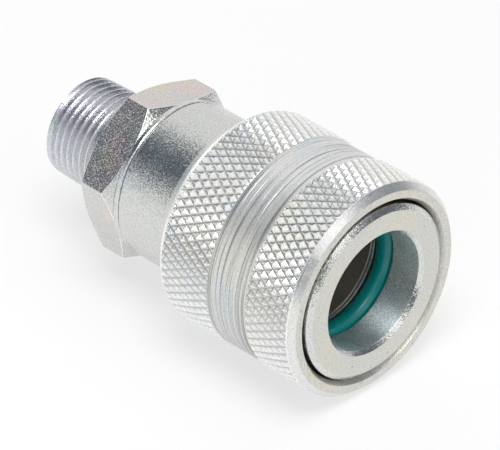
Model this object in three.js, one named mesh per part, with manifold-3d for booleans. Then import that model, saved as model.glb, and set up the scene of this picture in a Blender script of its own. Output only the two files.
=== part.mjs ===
// Quick disconnect coupler: the female half of a ball-lock fluid coupling with a shut-off poppet.
// A sleeve is pulled back against its spring, the locking balls move out and a plain nipple can go in or out.
//
// Millimetres, +Z up. The axis lies along X with the mouth towards +X. The origin is under the middle of the
// coupler, on the surface that its sleeve lies on. Every station is a distance behind the mouth's front face,
// so a turned profile is a list of [station, radius] points.

import * as THREE from 'three';
import { mergeVertices } from 'three/addons/utils/BufferGeometryUtils.js';
import Module from 'manifold-3d';

const wasm = await Module();
wasm.setup();

// ---- Driving dimensions -------------------------------------------------------------------------------

const LENGTH = 64.65;         // mouth face to the end of the pipe thread
const FACETS = 32;            // flats round a turned part; one of them faces down
const SMALL_FACETS = 24;      // flats round the smaller turned parts
const FLAT_FACTOR = Math.cos(Math.PI / FACETS);

const SLIDE_GAP = 0.16;       // radial clearance of the spring seat on the body
const BALL_GAP = 0.12;        // clearance between the balls and the sleeve's bore
const FIT_GAP = 0.1;          // radial clearance between fixed neighbours
const FACE_GAP = 0.15;        // axial clearance between faces that meet
const MERGE_DISTANCE = 1e-5;  // vertices closer than this are one vertex

const KNURL_RADIUS = 18.3;    // over the crests of the knurl
const AXIS_HEIGHT = KNURL_RADIUS;

// The body carries the balls, the nipple seal, the valve seat and the neck.
const BODY = {
  radius: 13.33,
  spigotRadius: 12,
  spigotRear: 14.4,
  boreRadius: 10.1,
  boreRear: 25.5,
  sealGrooveFront: 21,
  sealGrooveRear: 24.8,
  sealGrooveRadius: 12.3,
  seatRadius: 6.5,
  seatFront: 27.3,
  chamberRadius: 9.5,
  chamberRear: 36.7,
  threadRadius: 10.5,
  jointRecessRadius: 11.9,
  jointRecessFront: 41.5,
  rear: 43.05,
  edge: 0.2,
};

// The nose ring screws on the front of the body, holds the front seal and stops the sleeve.
const RING = {
  faceRadius: 13.95,
  outerRadius: 14.8,
  outerChamfer: 0.6,
  boreRadius: 10,
  boreChamfer: 0.6,
  grooveFront: 6.1,
  grooveRear: 10,
  grooveRadius: 12.95,
  lipRear: 10.4,
  flangeRear: 10.7,
  skirtRadius: 13.8,
  skirtRear: 14.2,
  threadRadius: BODY.spigotRadius + FIT_GAP,
};

const FRONT_SEAL = { station: 8.2, radius: 11.1, section: 1.75, sides: 10 };

const BALL = { count: 8, radius: 2, station: 17.5, orbit: 11.4, travel: 0.9, slices: 10, stacks: 6 };
const BALL_HOLE = { radius: 2.15, lipRadius: 1.8, lipOrbit: 10.35, facets: 16 };

const NIPPLE_SEAL = { station: 22.3, radius: 10.98, section: 1.1, sides: 8 };
const BACKUP = { front: 23.55, rear: 24.65, innerRadius: 10.2, outerRadius: 12.05 };

// The sleeve slides back by its pull. Over the balls its bore is a long taper, so they move out as it slides.
const SLEEVE = {
  pull: 4.5,
  front: 0.42,
  faceInnerRadius: 15.78,
  faceOuterRadius: 17.1,
  noseRadius: 18.05,
  noseRear: 1.45,
  mouthRadius: 15.2,
  mouthFront: 1.3,
  mouthRear: 11,
  reliefRadius: 14.55,
  landRear: 19.6,
  chamberRadius: 15.5,
  chamberRear: 30.7,
  bandRadius: 17.9,
  bandFront: 10.5,
  bandRear: 18.7,
  knurlFront: 1.7,
  knurlRear: 28.6,
  shoulderRadius: 18,
  bevelFront: 29.3,
  bevelRadius: 17.6,
  rear: 32.4,
  rearRadius: 14.5,
  lipRadius: 14,
};

const SPRING_SEAT = { front: 28.9, rear: 29.6, outerRadius: 15.2 };
const SNAP_RING = { front: 29.7, rear: 30.5, innerRadius: 12.85, outerRadius: 14.9, opening: 0.5, steps: 28 };
const SNAP_GROOVE = { front: 29.6, rear: 30.6, radius: 12.75 };
const SLEEVE_SPRING = { radius: 14.42, wire: 0.55, turns: 3 };

// The poppet closes the seat from behind. Its nose reaches into the socket, where the nipple pushes it back.
const POPPET = {
  tip: 20.8,
  tipRadius: 2.2,
  noseRadius: 3,
  coneFront: 26.6,
  seatGap: 0.35,
  headRadius: 8.45,
  headRear: 31.5,
  stemRadius: 2.5,
  stemRear: 42.5,
};
const POPPET_SEAL = {
  station: 28.68,
  radius: 6.74,
  section: 0.74,
  grooveHalf: 0.8,
  grooveDepth: 1.32,
  sides: 6,
};
const POPPET_SPRING = { radius: 5.2, wire: 0.55, turns: 4 };
const COIL = { sides: 6, stepsPerTurn: 12 };

const GUIDE = {
  front: 41.6,
  rear: 43,
  outerRadius: 8.55,
  rimRadius: 7.4,
  hubFront: 39.4,
  hubRadius: 4,
  holeRadius: 2.65,
  windows: 3,
  windowHalfAngle: 0.82,
  windowSteps: 6,
};

// The adapter screws into the back of the body. It has the spanner hexagon and a 3/8-18 pipe thread.
const ADAPTER = {
  spigotFront: 37,
  spigotRadius: BODY.threadRadius - FIT_GAP,
  pocketRadius: 8.7,
  pocketRear: 43.15,
  funnelRadius: 7.6,
  boreRadius: 5.5,
  collarFront: 43.2,
  collarRadius: 13.3,
  hexFront: 44.15,
  hexRear: 50.9,
  hexFaceRadius: 13.1,
  cornerRadius: 15.11,
  hexClocking: THREE.MathUtils.degToRad(16.86),
  chamferSlope: Math.tan(THREE.MathUtils.degToRad(30)),
  coreRadius: 11,
};
const THREAD = {
  front: 52.8,
  pitch: 1.411,
  turns: 8,
  crestRadius: 8.56,
  rootRadius: 7.6,
  taper: 1 / 32,
  neckRadius: 7.7,
  endRadius: 8.3,
};

const JOINT_SEAL = { station: 42.3, radius: 11.15, section: 0.62, sides: 6 };

// ---- Materials ----------------------------------------------------------------------------------------

const zincPlate = new THREE.MeshStandardMaterial({ color: 0xc9cac6, roughness: 0.34, metalness: 1 });
const knurledPlate = new THREE.MeshStandardMaterial({ color: 0xcfd0cd, roughness: 0.28, metalness: 1 });
const ballSteel = new THREE.MeshStandardMaterial({ color: 0xb9bcc0, roughness: 0.12, metalness: 1 });
const springSteel = new THREE.MeshStandardMaterial({ color: 0x9a9c9f, roughness: 0.3, metalness: 1 });
const sealGreen = new THREE.MeshStandardMaterial({ color: 0x087b7a, roughness: 0.38, metalness: 0 });
const sealBlack = new THREE.MeshStandardMaterial({ color: 0x1b1b1c, roughness: 0.55, metalness: 0 });
const backupPlastic = new THREE.MeshStandardMaterial({ color: 0xe8e5da, roughness: 0.45, metalness: 0 });

// ---- Shape helpers ------------------------------------------------------------------------------------

// Turns a closed [station, radius] profile round the axis, with its faces outward whichever way it is listed.
function turned(profile, facets = FACETS) {
  const points = profile.map(([station, radius]) => new THREE.Vector2(radius, -station));
  if (THREE.ShapeUtils.area(points) < 0) points.reverse();
  const onAxis = points.some((point) => point.x === 0);
  if (onAxis) {
    while (points[0].x !== 0 || points[points.length - 1].x !== 0) points.push(points.shift());
  } else {
    points.push(points[0].clone());
  }
  const geometry = new THREE.LatheGeometry(points, facets, Math.PI / facets);
  return geometry.rotateZ(-Math.PI / 2);
}

// A ring of round section, such as an O-ring.
function roundRing({ station, radius, section }, sides, facets = SMALL_FACETS) {
  const profile = [];
  for (let side = 0; side < sides; side += 1) {
    const angle = (2 * Math.PI * side) / sides;
    profile.push([station + section * Math.cos(angle), radius + section * Math.sin(angle)]);
  }
  return turned(profile, facets);
}

class Helix extends THREE.Curve {
  constructor(front, rear, radius, turns) {
    super();
    Object.assign(this, { front, rear, radius, turns });
  }

  getPoint(t, target = new THREE.Vector3()) {
    const angle = 2 * Math.PI * this.turns * t;
    const station = this.front + (this.rear - this.front) * t;
    return target.set(-station, this.radius * Math.cos(angle), this.radius * Math.sin(angle));
  }
}

// A coil spring of round wire whose outer surfaces end at the two stations.
function coilSpring(front, rear, { radius, wire, turns }) {
  const section = new THREE.Shape();
  for (let side = 0; side < COIL.sides; side += 1) {
    const angle = (2 * Math.PI * side) / COIL.sides;
    const point = [wire * Math.cos(angle), wire * Math.sin(angle)];
    if (side === 0) section.moveTo(...point);
    else section.lineTo(...point);
  }
  section.closePath();
  const path = new Helix(front + wire, rear - wire, radius, turns);
  const steps = turns * COIL.stepsPerTurn;
  return new THREE.ExtrudeGeometry(section, { steps, extrudePath: path, bevelEnabled: false });
}

function toSolid(geometry) {
  const bare = geometry.clone();
  bare.deleteAttribute('normal');
  bare.deleteAttribute('uv');
  const merged = mergeVertices(bare, MERGE_DISTANCE);
  const index = merged.index.array;
  const triangles = [];
  for (let i = 0; i < index.length; i += 3) {
    const [a, b, c] = [index[i], index[i + 1], index[i + 2]];
    if (a !== b && b !== c && c !== a) triangles.push(a, b, c);
  }
  const mesh = new wasm.Mesh({
    numProp: 3,
    vertProperties: new Float32Array(merged.attributes.position.array),
    triVerts: new Uint32Array(triangles),
  });
  return new wasm.Manifold(mesh);
}

function toGeometry(solid) {
  const mesh = solid.getMesh();
  const geometry = new THREE.BufferGeometry();
  geometry.setAttribute('position', new THREE.BufferAttribute(new Float32Array(mesh.vertProperties), 3));
  geometry.setIndex(new THREE.BufferAttribute(new Uint32Array(mesh.triVerts), 1));
  geometry.computeVertexNormals();
  return geometry;
}

// A plug for cutting a hole that runs outward from the axis, between two distances from it.
function radialPlug(radius, inner, outer, station, angle, facets) {
  const plug = new THREE.CylinderGeometry(radius, radius, outer - inner, facets);
  return toSolid(plug.translate(0, (inner + outer) / 2, 0).rotateX(angle).translate(-station, 0, 0));
}

// ---- Parts --------------------------------------------------------------------------------------------

function noseRing() {
  const chamferRear = RING.outerChamfer;
  return turned([
    [0, RING.boreRadius + RING.boreChamfer],
    [0, RING.faceRadius],
    [chamferRear, RING.outerRadius],
    [RING.flangeRear, RING.outerRadius],
    [RING.flangeRear, RING.skirtRadius],
    [RING.skirtRear, RING.skirtRadius],
    [RING.skirtRear, RING.threadRadius],
    [RING.lipRear, RING.threadRadius],
    [RING.lipRear, RING.boreRadius],
    [RING.grooveRear, RING.boreRadius],
    [RING.grooveRear, RING.grooveRadius],
    [RING.grooveFront, RING.grooveRadius],
    [RING.grooveFront, RING.boreRadius],
    [RING.boreChamfer, RING.boreRadius],
  ]);
}

function socketBody() {
  const front = RING.flangeRear;
  const seatRear = BODY.seatFront + BODY.chamberRadius - BODY.seatRadius;
  const outline = turned([
    [front, BODY.spigotRadius],
    [BODY.spigotRear, BODY.spigotRadius],
    [BODY.spigotRear, BODY.radius],
    [SNAP_GROOVE.front, BODY.radius],
    [SNAP_GROOVE.front, SNAP_GROOVE.radius],
    [SNAP_GROOVE.rear, SNAP_GROOVE.radius],
    [SNAP_GROOVE.rear, BODY.radius],
    [BODY.rear - BODY.edge, BODY.radius],
    [BODY.rear, BODY.radius - BODY.edge],
    [BODY.rear, BODY.jointRecessRadius],
    [BODY.jointRecessFront, BODY.jointRecessRadius],
    [BODY.jointRecessFront, BODY.threadRadius],
    [BODY.chamberRear, BODY.threadRadius],
    [BODY.chamberRear, BODY.chamberRadius],
    [seatRear, BODY.chamberRadius],
    [BODY.seatFront, BODY.seatRadius],
    [BODY.boreRear, BODY.seatRadius],
    [BODY.boreRear, BODY.boreRadius],
    [BODY.sealGrooveRear, BODY.boreRadius],
    [BODY.sealGrooveRear, BODY.sealGrooveRadius],
    [BODY.sealGrooveFront, BODY.sealGrooveRadius],
    [BODY.sealGrooveFront, BODY.boreRadius],
    [front, BODY.boreRadius],
  ]);
  let solid = toSolid(outline);
  for (let ball = 0; ball < BALL.count; ball += 1) {
    const angle = ballAngle(ball);
    const { radius, lipRadius, lipOrbit, facets } = BALL_HOLE;
    const outside = BODY.radius + BALL.radius;
    const inside = BODY.boreRadius - BALL.radius;
    solid = solid.subtract(radialPlug(radius, lipOrbit, outside, BALL.station, angle, facets));
    solid = solid.subtract(radialPlug(lipRadius, inside, outside, BALL.station, angle, facets));
  }
  return toGeometry(solid);
}

function ballAngle(ball) {
  return (2 * Math.PI * ball) / BALL.count;
}

function lockingBall(ball) {
  const angle = ballAngle(ball);
  const sphere = new THREE.SphereGeometry(BALL.radius, BALL.slices, BALL.stacks);
  return sphere.translate(-BALL.station, BALL.orbit * Math.cos(angle), BALL.orbit * Math.sin(angle));
}

// The taper of the sleeve's bore is parallel to the line that the balls' centres follow against the sleeve.
// Its rear lip is bevelled and closes the spring's chamber behind the snap ring.
function lockSleeve() {
  const slope = BALL.travel / SLEEVE.pull;
  const landRadius = BALL.orbit + BALL.radius * Math.hypot(1, slope) + BALL_GAP;
  const taperLength = (SLEEVE.reliefRadius - landRadius) / slope;
  const flat = (radius) => radius / FLAT_FACTOR;
  return turned([
    [SLEEVE.front, SLEEVE.faceInnerRadius],
    [SLEEVE.front, SLEEVE.faceOuterRadius],
    [SLEEVE.noseRear, SLEEVE.noseRadius],
    [SLEEVE.knurlFront, flat(KNURL_RADIUS)],
    [SLEEVE.bandFront, flat(KNURL_RADIUS)],
    [SLEEVE.bandFront, SLEEVE.bandRadius],
    [SLEEVE.bandRear, SLEEVE.bandRadius],
    [SLEEVE.bandRear, flat(KNURL_RADIUS)],
    [SLEEVE.knurlRear, flat(KNURL_RADIUS)],
    [SLEEVE.knurlRear, SLEEVE.shoulderRadius],
    [SLEEVE.bevelFront, SLEEVE.bevelRadius],
    [SLEEVE.rear, SLEEVE.rearRadius],
    [SLEEVE.rear, SLEEVE.lipRadius],
    [SLEEVE.chamberRear, SLEEVE.lipRadius],
    [SLEEVE.chamberRear, SLEEVE.chamberRadius],
    [SLEEVE.landRear, SLEEVE.chamberRadius],
    [SLEEVE.landRear, landRadius],
    [BALL.station, landRadius],
    [BALL.station - taperLength, SLEEVE.reliefRadius],
    [SLEEVE.mouthRear, SLEEVE.reliefRadius],
    [SLEEVE.mouthRear, SLEEVE.mouthRadius],
    [SLEEVE.mouthFront, SLEEVE.mouthRadius],
  ]);
}

function sleeveSpring() {
  return coilSpring(SLEEVE.landRear + FACE_GAP, SPRING_SEAT.front - FACE_GAP, SLEEVE_SPRING);
}

function springSeat() {
  return turned([
    [SPRING_SEAT.front, BODY.radius + SLIDE_GAP],
    [SPRING_SEAT.front, SPRING_SEAT.outerRadius],
    [SPRING_SEAT.rear, SPRING_SEAT.outerRadius],
    [SPRING_SEAT.rear, BODY.radius + SLIDE_GAP],
  ]);
}

// A split ring that stands in the body's groove, with its opening at the bottom.
function snapRing() {
  const { front, rear, innerRadius, outerRadius, opening, steps } = SNAP_RING;
  const arc = new THREE.Shape();
  const start = -Math.PI / 2 + opening / 2;
  const sweep = 2 * Math.PI - opening;
  for (let step = 0; step <= steps; step += 1) {
    const angle = start + (sweep * step) / steps;
    const point = [outerRadius * Math.cos(angle), outerRadius * Math.sin(angle)];
    if (step === 0) arc.moveTo(...point);
    else arc.lineTo(...point);
  }
  for (let step = steps; step >= 0; step -= 1) {
    const angle = start + (sweep * step) / steps;
    arc.lineTo(innerRadius * Math.cos(angle), innerRadius * Math.sin(angle));
  }
  arc.closePath();
  const plate = new THREE.ExtrudeGeometry(arc, { depth: rear - front, bevelEnabled: false });
  return plate.rotateX(Math.PI / 2).rotateZ(Math.PI / 2).translate(-rear, 0, 0);
}

function backupRing() {
  return turned([
    [BACKUP.front, BACKUP.innerRadius],
    [BACKUP.front, BACKUP.outerRadius],
    [BACKUP.rear, BACKUP.outerRadius],
    [BACKUP.rear, BACKUP.innerRadius],
  ], SMALL_FACETS);
}

// The head's cone is parallel to the seat, and a square groove across it holds the poppet's seal.
function poppet() {
  const coneOffset = BODY.seatFront - BODY.seatRadius + POPPET.seatGap;
  const onCone = (station) => [station, station - coneOffset];
  const { station, radius, grooveHalf, grooveDepth } = POPPET_SEAL;
  const middle = (station + radius + coneOffset) / 2;
  const half = grooveHalf * Math.SQRT1_2;
  const depth = grooveDepth * Math.SQRT1_2;
  const grooveFront = onCone(middle - half);
  const grooveRear = onCone(middle + half);
  const coneRear = POPPET.headRadius + coneOffset;
  return turned([
    [POPPET.tip, 0],
    [POPPET.tip, POPPET.tipRadius],
    [POPPET.tip + POPPET.noseRadius - POPPET.tipRadius, POPPET.noseRadius],
    [POPPET.coneFront, POPPET.noseRadius],
    onCone(POPPET.coneFront),
    grooveFront,
    [grooveFront[0] + depth, grooveFront[1] - depth],
    [grooveRear[0] + depth, grooveRear[1] - depth],
    grooveRear,
    onCone(coneRear),
    [POPPET.headRear, POPPET.headRadius],
    [POPPET.headRear, POPPET.stemRadius],
    [POPPET.stemRear, POPPET.stemRadius],
    [POPPET.stemRear, 0],
  ], SMALL_FACETS);
}

function poppetSpring() {
  return coilSpring(POPPET.headRear + FACE_GAP, GUIDE.front - FACE_GAP, POPPET_SPRING);
}

// A disc with a hub for the poppet's stem and windows for the fluid.
function valveGuide() {
  const disc = toSolid(turned([
    [GUIDE.hubFront, GUIDE.holeRadius],
    [GUIDE.hubFront, GUIDE.hubRadius],
    [GUIDE.front, GUIDE.hubRadius],
    [GUIDE.front, GUIDE.outerRadius],
    [GUIDE.rear, GUIDE.outerRadius],
    [GUIDE.rear, GUIDE.holeRadius],
  ], SMALL_FACETS));
  const reach = GUIDE.rear - GUIDE.front + 2 * FACE_GAP;
  let guide = disc;
  for (let window = 0; window < GUIDE.windows; window += 1) {
    const middle = (2 * Math.PI * window) / GUIDE.windows + Math.PI / 2;
    const outline = new THREE.Shape();
    const corner = (radius, step) => {
      const angle = middle + GUIDE.windowHalfAngle * ((2 * step) / GUIDE.windowSteps - 1);
      return [radius * Math.cos(angle), radius * Math.sin(angle)];
    };
    outline.moveTo(...corner(GUIDE.rimRadius, 0));
    for (let step = 1; step <= GUIDE.windowSteps; step += 1) outline.lineTo(...corner(GUIDE.rimRadius, step));
    for (let step = GUIDE.windowSteps; step >= 0; step -= 1) outline.lineTo(...corner(GUIDE.hubRadius, step));
    outline.closePath();
    const plug = new THREE.ExtrudeGeometry(outline, { depth: reach, bevelEnabled: false });
    plug.rotateX(Math.PI / 2).rotateZ(Math.PI / 2).translate(-GUIDE.rear - FACE_GAP, 0, 0);
    guide = guide.subtract(toSolid(plug));
  }
  return toGeometry(guide);
}

// The thread is a stack of V grooves on the taper of a pipe thread, which is at its size in the middle.
// The end face cuts through its last crest.
function threadProfile() {
  const rear = THREAD.front + THREAD.pitch * THREAD.turns;
  const middle = (THREAD.front + rear) / 2;
  const profile = [];
  for (let turn = 0; turn < THREAD.turns; turn += 1) {
    const root = THREAD.front + THREAD.pitch * turn;
    const crest = root + THREAD.pitch / 2;
    profile.push([root, THREAD.rootRadius + (middle - root) * THREAD.taper]);
    profile.push([crest, THREAD.crestRadius + (middle - crest) * THREAD.taper]);
  }
  profile.push([rear, THREAD.rootRadius + (middle - rear) * THREAD.taper]);
  profile.push([LENGTH, THREAD.endRadius]);
  return profile;
}

function hoseAdapter() {
  const faceDrop = (ADAPTER.cornerRadius - ADAPTER.hexFaceRadius) * ADAPTER.chamferSlope;
  const blank = turned([
    [ADAPTER.hexFront, ADAPTER.boreRadius],
    [ADAPTER.hexFront, ADAPTER.hexFaceRadius],
    [ADAPTER.hexFront + faceDrop, ADAPTER.cornerRadius],
    [ADAPTER.hexRear - faceDrop, ADAPTER.cornerRadius],
    [ADAPTER.hexRear, ADAPTER.hexFaceRadius],
    [ADAPTER.hexRear, ADAPTER.boreRadius],
  ]);
  const width = ADAPTER.hexRear - ADAPTER.hexFront;
  const prism = new THREE.CylinderGeometry(ADAPTER.cornerRadius, ADAPTER.cornerRadius, 2 * width, 6);
  prism.rotateZ(-Math.PI / 2).rotateX(ADAPTER.hexClocking);
  prism.translate(-(ADAPTER.hexFront + ADAPTER.hexRear) / 2, 0, 0);
  const funnelRear = ADAPTER.pocketRear + ADAPTER.funnelRadius - ADAPTER.boreRadius;
  const turnedPart = turned([
    [ADAPTER.spigotFront, ADAPTER.pocketRadius],
    [ADAPTER.spigotFront, ADAPTER.spigotRadius],
    [ADAPTER.collarFront, ADAPTER.spigotRadius],
    [ADAPTER.collarFront, ADAPTER.collarRadius],
    [ADAPTER.hexFront + FACE_GAP, ADAPTER.collarRadius],
    [ADAPTER.hexFront + FACE_GAP, ADAPTER.coreRadius],
    [ADAPTER.hexRear - FACE_GAP, ADAPTER.coreRadius],
    [ADAPTER.hexRear - FACE_GAP, THREAD.neckRadius],
    ...threadProfile(),
    [LENGTH, ADAPTER.boreRadius],
    [funnelRear, ADAPTER.boreRadius],
    [ADAPTER.pocketRear, ADAPTER.funnelRadius],
    [ADAPTER.pocketRear, ADAPTER.pocketRadius],
  ], SMALL_FACETS);
  const hexagon = toSolid(blank).intersect(toSolid(prism));
  return toGeometry(toSolid(turnedPart).add(hexagon));
}

// ---- Assembly -----------------------------------------------------------------------------------------

const group = new THREE.Group();
group.position.set(LENGTH / 2, 0, AXIS_HEIGHT);

function add(name, geometry, material) {
  const mesh = new THREE.Mesh(geometry, material);
  mesh.name = name;
  group.add(mesh);
}

add('hose_adapter', hoseAdapter(), zincPlate);
add('socket_body', socketBody(), zincPlate);
add('nose_ring', noseRing(), zincPlate);
add('front_seal', roundRing(FRONT_SEAL, FRONT_SEAL.sides, FACETS), sealGreen);
add('nipple_seal', roundRing(NIPPLE_SEAL, NIPPLE_SEAL.sides), sealBlack);
add('backup_ring', backupRing(), backupPlastic);
add('joint_seal', roundRing(JOINT_SEAL, JOINT_SEAL.sides), sealBlack);
add('snap_ring', snapRing(), springSteel);
add('valve_guide', valveGuide(), zincPlate);
add('spring_seat', springSeat(), springSteel);
add('sleeve_spring', sleeveSpring(), springSteel);
add('lock_sleeve', lockSleeve(), knurledPlate);
add('poppet', poppet(), zincPlate);
add('poppet_seal', roundRing(POPPET_SEAL, POPPET_SEAL.sides), sealBlack);
add('poppet_spring', poppetSpring(), springSteel);
for (let ball = 0; ball < BALL.count; ball += 1) {
  add(`locking_ball_${ball + 1}`, lockingBall(ball), ballSteel);
}

export default group;
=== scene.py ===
import math

import bmesh
import bpy
import numpy as np
from mathutils import Matrix, Vector


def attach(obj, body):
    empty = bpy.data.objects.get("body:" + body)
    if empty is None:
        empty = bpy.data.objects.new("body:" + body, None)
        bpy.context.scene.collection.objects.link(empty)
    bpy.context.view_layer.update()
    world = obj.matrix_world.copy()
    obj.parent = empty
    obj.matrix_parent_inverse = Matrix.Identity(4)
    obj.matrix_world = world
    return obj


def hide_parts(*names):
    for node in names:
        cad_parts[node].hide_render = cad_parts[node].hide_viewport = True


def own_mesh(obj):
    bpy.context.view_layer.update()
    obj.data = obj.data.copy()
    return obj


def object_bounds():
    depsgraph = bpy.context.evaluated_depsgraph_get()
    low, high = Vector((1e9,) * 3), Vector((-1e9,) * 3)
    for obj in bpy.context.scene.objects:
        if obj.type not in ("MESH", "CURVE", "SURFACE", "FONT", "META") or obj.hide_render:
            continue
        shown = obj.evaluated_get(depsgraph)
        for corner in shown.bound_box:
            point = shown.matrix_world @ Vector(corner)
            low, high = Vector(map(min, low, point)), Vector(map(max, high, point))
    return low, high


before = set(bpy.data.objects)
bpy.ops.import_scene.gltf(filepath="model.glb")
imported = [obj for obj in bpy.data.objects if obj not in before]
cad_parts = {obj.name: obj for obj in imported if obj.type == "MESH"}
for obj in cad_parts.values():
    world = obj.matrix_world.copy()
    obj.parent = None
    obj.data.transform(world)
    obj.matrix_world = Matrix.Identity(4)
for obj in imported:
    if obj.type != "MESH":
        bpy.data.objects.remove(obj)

# The looks of the quick disconnect coupler. Stations and radii are in millimetres: a station is a distance
# behind the mouth's front face, along the axis. Both are turned into metres where Blender takes them.

MM = 0.001
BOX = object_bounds()
FRONT_X = BOX[1].x
REAR_X = BOX[0].x
AXIS_Z = (BOX[0].z + BOX[1].z) / 2
LENGTH = (FRONT_X - REAR_X) / MM
KNURL_RADIUS = (BOX[1].z - BOX[0].z) / 2 / MM

COLUMNS = 192
SMALL_COLUMNS = 96
EDGE = 0.1          # radius of an ordinary broken edge
EDGE_STEPS = 3
MARGIN = 0.04        # how far past its edges a face's finish reaches

# ---- Driving dimensions --------------------------------------------------------------------------------

RING_FACE_RADIUS = 13.95
RING_RADIUS = 14.8
RING_BORE = 10
RING_CHAMFER = 0.6
RING_GROOVE = (6.1, 10, 12.95)      # front, rear and radius, like SEAL_GROOVE and SNAP_GROOVE
RING_LIP_REAR = 10.4
RING_FLANGE_REAR = 10.7
RING_SKIRT = (14.2, 13.8)
RING_THREAD_RADIUS = 12.1

BODY_RADIUS = 13.33
SPIGOT = (14.4, 12)
SOCKET_RADIUS = 10.1
SOCKET_REAR = 25.5
SEAL_GROOVE = (21, 24.8, 12.3)
SEAT_FRONT = 27.3
SEAT_RADIUS = 6.5
CHAMBER_RADIUS = 9.5
CHAMBER_REAR = 36.7
BODY_THREAD_RADIUS = 10.5
JOINT_RECESS = (41.5, 11.9)
BODY_REAR = 43.05
SNAP_GROOVE = (29.6, 30.6, 12.75)

BALL_COUNT = 8
BALL_RADIUS = 2.0
BALL_STATION = 17.5
BALL_ORBIT = 11.4
BALL_HOLE_RADIUS = 2.15
BALL_LIP_RADIUS = 1.8
BALL_LIP_ORBIT = 10.35

SLEEVE_FRONT = 0.42
SLEEVE_REAR = 32.4
SLEEVE_PULL = 4.5
NOSE_FACE_RADIUS = 17.1
NOSE_SLOPE = 0.92
BAND = (10.5, 18.7)
BAND_RADIUS = 17.9
BAND_STATIONS = 101
BAND_UNEVENNESS = 0.008
BAND_SCORES = 16     # deeper tool lines
BAND_SCORE_DEPTH = 0.035
BAND_EDGE_DEPTH = 0.02
KNURL_REAR = 28.6
KNURLS_ROUND = 72
KNURL_STEP = 2.8     # length of one diamond along the axis
KNURL_DEPTH = 0.46
KNURL_FADE = (1.35, 1.95)
KNURL_CELLS = 12     # mesh cells across one diamond
KNURL_START = 0.9    # behind the sleeve's front
KNURL_CLEARANCE = 0.012              # keeps the crests inside the frame's box
SHOULDER_RADIUS = 18
BEVEL_FRONT = 29.3
BEVEL_RADIUS = 17.6
SLEEVE_REAR_RADIUS = 14.5
MOUTH_FACE_RADIUS = 15.78
MOUTH = (1.3, 15.2)
MOUTH_REAR = 11
RELIEF = (12.55, 14.55)
LIP = (30.7, 14)
SPRING_CHAMBER = (19.6, 15.5)
LAND_RADIUS = 13.56

SPIGOT_FRONT = 37
SPIGOT_MIDDLE = 40   # the adapter's outline starts and ends here
SPIGOT_RADIUS = 10.4
COLLAR_FRONT = 43.2
COLLAR_RADIUS = 13.3
POCKET = (43.15, 8.7)
FUNNEL = (45.24, 7.6)
ADAPTER_BORE = 5.5
HEX_FRONT = 44.15
HEX_REAR = 50.9
HEX_FACE_RADIUS = 13.1
HEX_CORNER_RADIUS = 15.11
HEX_CLOCKING = math.radians(46.86)
HEX_CHAMFER_SLOPE = math.tan(math.radians(30))
HEX_CORNER_ROUNDING = 0.25
HEX_CORNER_CLEARANCE = math.radians(0.9)   # finer rows take the place of the even ones this near a corner
HEX_CORNER_STEP = 0.16                     # degrees between the finer rows
ADAPTER_COLUMNS = 324

THREAD_FRONT = 52.8
THREAD_PITCH = 1.411
THREAD_CREST = 8.56
THREAD_ROOT = 7.6
THREAD_TURNS = 8
THREAD_TAPER = 1 / 32
THREAD_END_RADIUS = 8.3
THREAD_RIM = 0.5
THREAD_CELLS = 16    # mesh cells across one pitch
THREAD_LEAD = 0.3    # how far before its front the thread starts to rise
THREAD_RUN_OUT = 0.9
THREAD_NECK = 7.75

FRONT_SEAL = (8.2, 11.1, 1.75)       # station, radius and the section's radius, like the other seals
NIPPLE_SEAL = (22.3, 10.98, 1.1)
JOINT_SEAL = (42.3, 11.15, 0.62)
POPPET_SEAL = (28.68, 6.74, 0.74)
BACKUP = (23.55, 24.65, 10.2, 12.05)  # front, rear, inner and outer radius, like the other flat rings
SPRING_SEAT = (28.9, 29.6, 13.49, 15.2)
SNAP_RING = (29.7, 30.5, 12.85, 14.9)
SNAP_OPENING = 0.5
SLEEVE_SPRING = (19.75, 28.75, 14.42, 0.55, 3)   # front, rear, radius, the wire's radius and turns
POPPET_SPRING = (31.65, 41.45, 5.2, 0.55, 4)

POPPET_TRAVEL = 4.0
POPPET_TIP = 20.8
POPPET_TIP_RADIUS = 2.2
POPPET_TIP_CHAMFER = 0.8
POPPET_NOSE_RADIUS = 3
POPPET_STEM_RADIUS = 2.5
POPPET_HEAD_RADIUS = 8.45
POPPET_CONE_FRONT = 26.6
POPPET_HEAD_REAR = 31.5
POPPET_REAR = 42.5
POPPET_SEAT_GAP = 0.35
POPPET_GROOVE = (0.8, 1.32)          # half its width, and its depth

GUIDE_RADIUS = 8.55
GUIDE_RIM_RADIUS = 7.4
GUIDE_HUB_RADIUS = 4.0
GUIDE_HOLE_RADIUS = 2.65
GUIDE_HUB_FRONT = 39.4
GUIDE_FRONT = 41.6
GUIDE_REAR = 43
GUIDE_WINDOW_HALF_ANGLE = 0.82
GUIDE_OVERCUT = 0.4                  # how far a window's plug reaches past the disc

# ---- Mesh helpers --------------------------------------------------------------------------------------


def rounded(outline, edge=EDGE, steps=EDGE_STEPS, closed=True):
    """An outline of (station, radius) points with rounded corners. A third number is that corner's radius."""
    count = len(outline)
    result = []
    for index, point in enumerate(outline):
        here = np.array(point[:2], float)
        if not closed and index in (0, count - 1):
            result.append(tuple(here))
            continue
        radius = point[2] if len(point) > 2 else edge
        before = np.array(outline[index - 1][:2], float) - here
        after = np.array(outline[(index + 1) % count][:2], float) - here
        length_before, length_after = np.linalg.norm(before), np.linalg.norm(after)
        before, after = before / length_before, after / length_after
        turn = math.pi - math.acos(max(-1, min(1, float(before @ after))))
        cut_back = min(radius * math.tan(turn / 2), 0.45 * length_before, 0.45 * length_after)
        start, end = here + before * cut_back, here + after * cut_back
        for step in range(steps + 1):
            t = step / steps
            result.append(tuple((1 - t) ** 2 * start + 2 * t * (1 - t) * here + t * t * end))
    return result


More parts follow.
